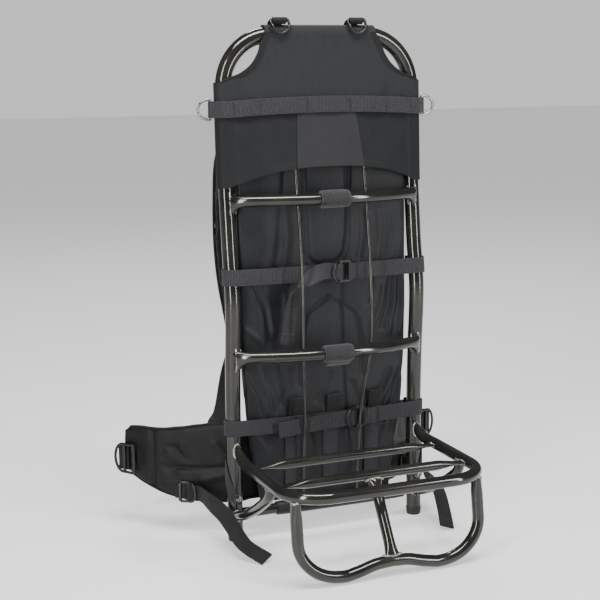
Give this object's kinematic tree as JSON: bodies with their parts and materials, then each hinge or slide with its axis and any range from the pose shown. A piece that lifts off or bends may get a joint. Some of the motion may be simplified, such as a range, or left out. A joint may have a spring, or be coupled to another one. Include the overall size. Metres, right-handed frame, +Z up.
{
  "type": "external frame backpack",
  "caption": "External frame backpack: welded tube frame with a fold-out load shelf and stand, cloth top panel, webbing straps, back pad, hip belt and shoulder straps.",
  "frame": {"origin": "bottom centre of the bounding box, on the ground", "axes": "+Z up; +Y from the load towards the wearer; +X to the right as seen from the load side"},
  "size_m": [0.6032, 0.4814, 0.8104],
  "materials": {
    "tube": "gloss",
    "steel": "polished",
    "plastic": "satin",
    "panel": "matte",
    "patch": "matte",
    "pad": "matte",
    "belt": "matte",
    "webbing": "ribbed"
  },
  "bodies": {
    "root": {"main_frame_hoop": "tube", "foot_cap_left": "plastic", "foot_cap_right": "plastic", "bottom_crossbar": "tube", "stay_rod_left": "tube", "stay_rod_right": "tube", "upper_crossbar": "tube", "lower_crossbar": "tube", "shelf_hoop": "tube", "shelf_slat_rear": "tube", "shelf_slat_front": "tube", "stand_loop": "tube", "stand_strut": "tube", "shelf_brace_left": "tube", "shelf_brace_right": "tube", "strap_bolt_left": "steel", "strap_bolt_right": "steel", "top_panel": "panel", "centre_patch": "patch", "daisy_webbing": "webbing", "side_ring_left": "steel", "side_ring_right": "steel", "lash_loop_left": "webbing", "lash_ring_left": "plastic", "lash_loop_right": "webbing", "lash_ring_right": "plastic", "upper_bar_wrap": "webbing", "lower_bar_wrap": "webbing", "bottom_bar_sleeve": "pad", "back_pad": "pad", "pad_tab_left": "webbing", "pad_ladder_left": "webbing", "pad_tab_middle": "webbing", "pad_ladder_middle": "webbing", "pad_tab_right": "webbing", "pad_ladder_right": "webbing", "upper_strap_left": "webbing", "upper_strap_right": "webbing", "upper_strap_buckle": "plastic", "lower_strap_left": "webbing", "lower_strap_right": "webbing", "lower_strap_buckle": "plastic", "hip_belt": "belt", "hip_lock_left": "plastic", "hip_webbing_left": "webbing", "hip_lock_right": "plastic", "hip_webbing_right": "webbing", "hip_buckle": "plastic", "shoulder_strap_left": "belt", "shoulder_webbing_left": "webbing", "shoulder_strap_right": "belt", "shoulder_webbing_right": "webbing", "anchor_webbing_left": "webbing", "stabiliser_lock_left": "plastic", "stabiliser_strap_left": "webbing", "anchor_webbing_right": "webbing", "stabiliser_lock_right": "plastic", "stabiliser_strap_right": "webbing"}
  },
  "joints": []
}
